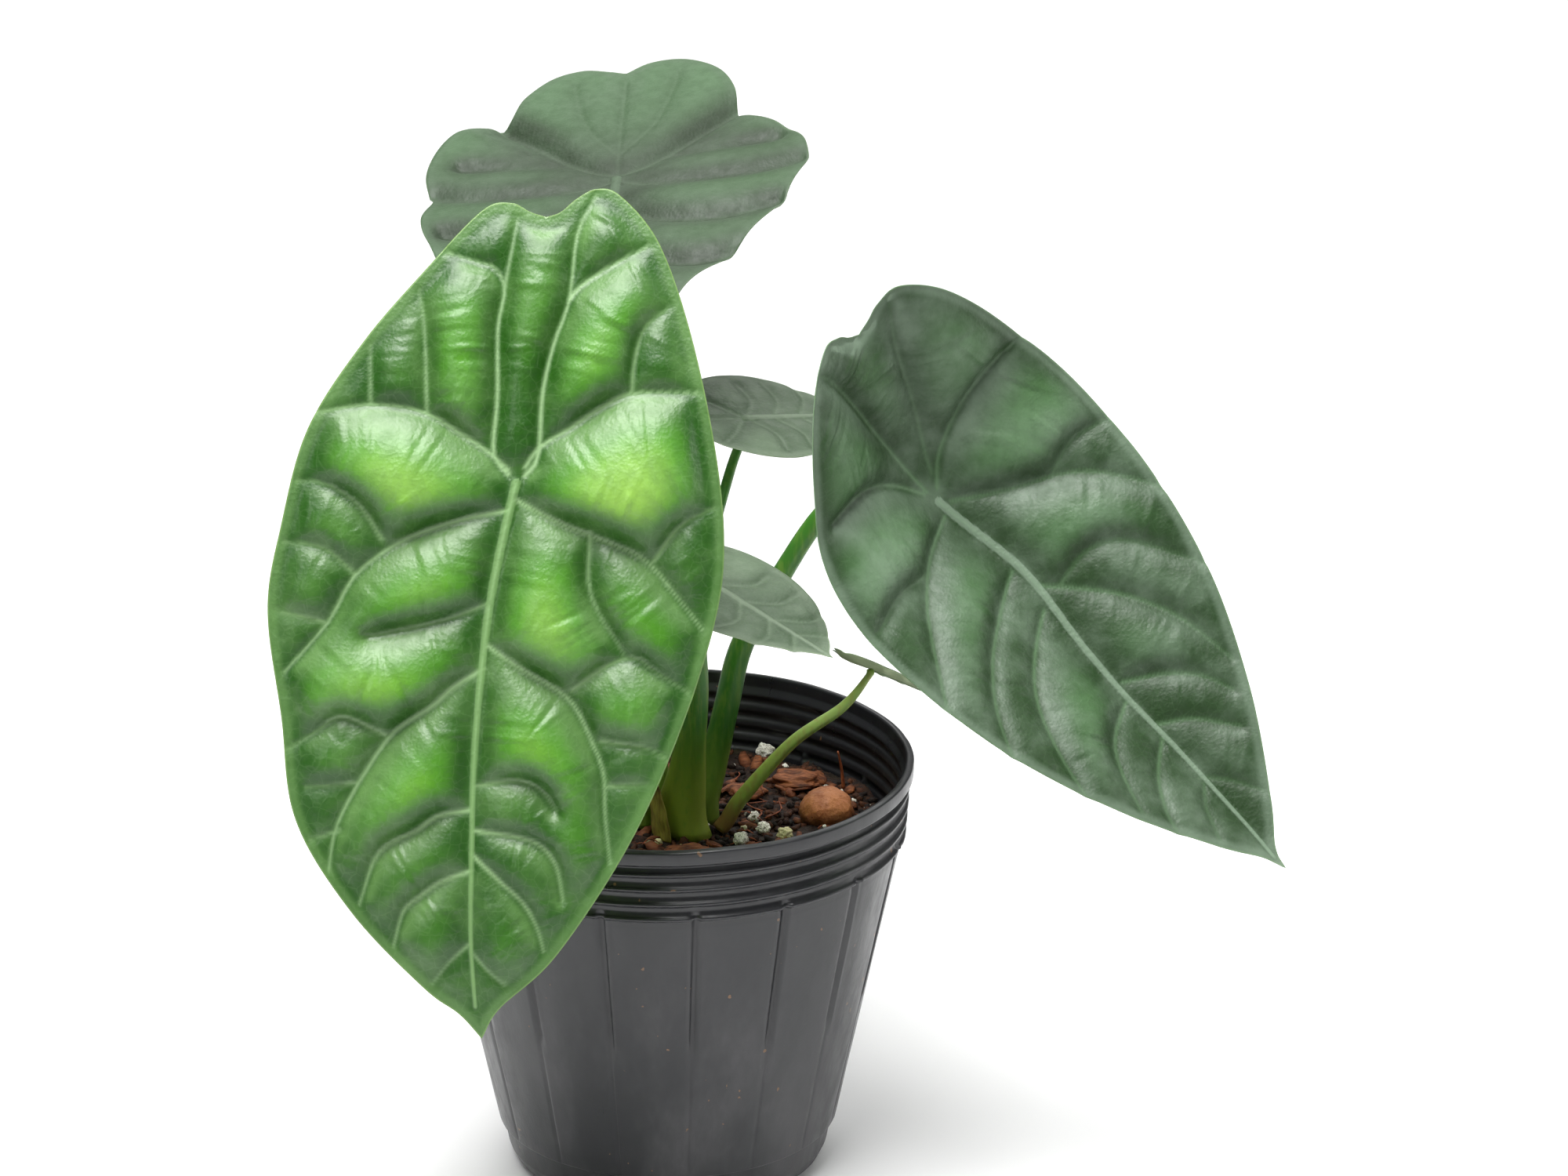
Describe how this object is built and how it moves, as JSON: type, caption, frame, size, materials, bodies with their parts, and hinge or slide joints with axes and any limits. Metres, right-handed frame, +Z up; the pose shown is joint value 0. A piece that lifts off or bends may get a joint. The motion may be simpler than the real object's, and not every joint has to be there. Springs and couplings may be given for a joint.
{
  "type": "potted alocasia",
  "caption": "Young alocasia with quilted peltate leaves on arching petioles, in a round ringed nursery pot of bark and peat mix.",
  "frame": {"origin": "middle of the pot's flat underside, on the surface that it stands on", "axes": "+Z up along the pot's axis; the plant's front, with the large hanging leaf, looks along -Y; +X is to the right seen from the front"},
  "size_m": [0.2547, 0.2394, 0.2748],
  "materials": {
    "pot_plastic": "black polypropylene, satin and a little dusty",
    "potting_mix": "moist peat with husk chips",
    "rhizome": "brown scaly stem base",
    "root": "pale fleshy root",
    "young_leaf": "glossy quilted young blade, bright green",
    "grown_leaf": "matte quilted blade, silvery dark green",
    "small_leaf": "small smooth blade, grey green",
    "petiole": "smooth green petiole",
    "cataphyll": "dry papery scale, straw to green",
    "clay_pebble": "fired clay, matte and pitted",
    "perlite": "white expanded grains",
    "coir_husk": "brown coconut husk"
  },
  "bodies": {
    "root": {"pot": "pot_plastic", "potting_mix": "potting_mix", "rhizome": "rhizome", "root_1": "root", "root_2": "root", "root_3": "root", "root_4": "root", "root_5": "root", "front_leaf": "young_leaf", "right_leaf": "grown_leaf", "back_leaf": "grown_leaf", "upper_leaf": "small_leaf", "lower_leaf": "small_leaf", "small_leaf": "small_leaf", "front_petiole": "petiole", "right_petiole": "petiole", "back_petiole": "petiole", "upper_petiole": "petiole", "lower_petiole": "petiole", "small_petiole": "petiole", "cataphyll": "cataphyll", "clay_pebble": "clay_pebble", "perlite_1": "perlite", "perlite_2": "perlite", "perlite_3": "perlite", "perlite_4": "perlite", "perlite_5": "perlite", "perlite_6": "perlite", "perlite_7": "perlite", "husk_chip_1": "coir_husk", "husk_chip_2": "coir_husk", "husk_chip_3": "coir_husk", "husk_chip_4": "coir_husk", "husk_chip_5": "coir_husk", "husk_chip_6": "coir_husk", "coir_fibre_1": "coir_husk", "coir_fibre_2": "coir_husk"}
  },
  "joints": []
}
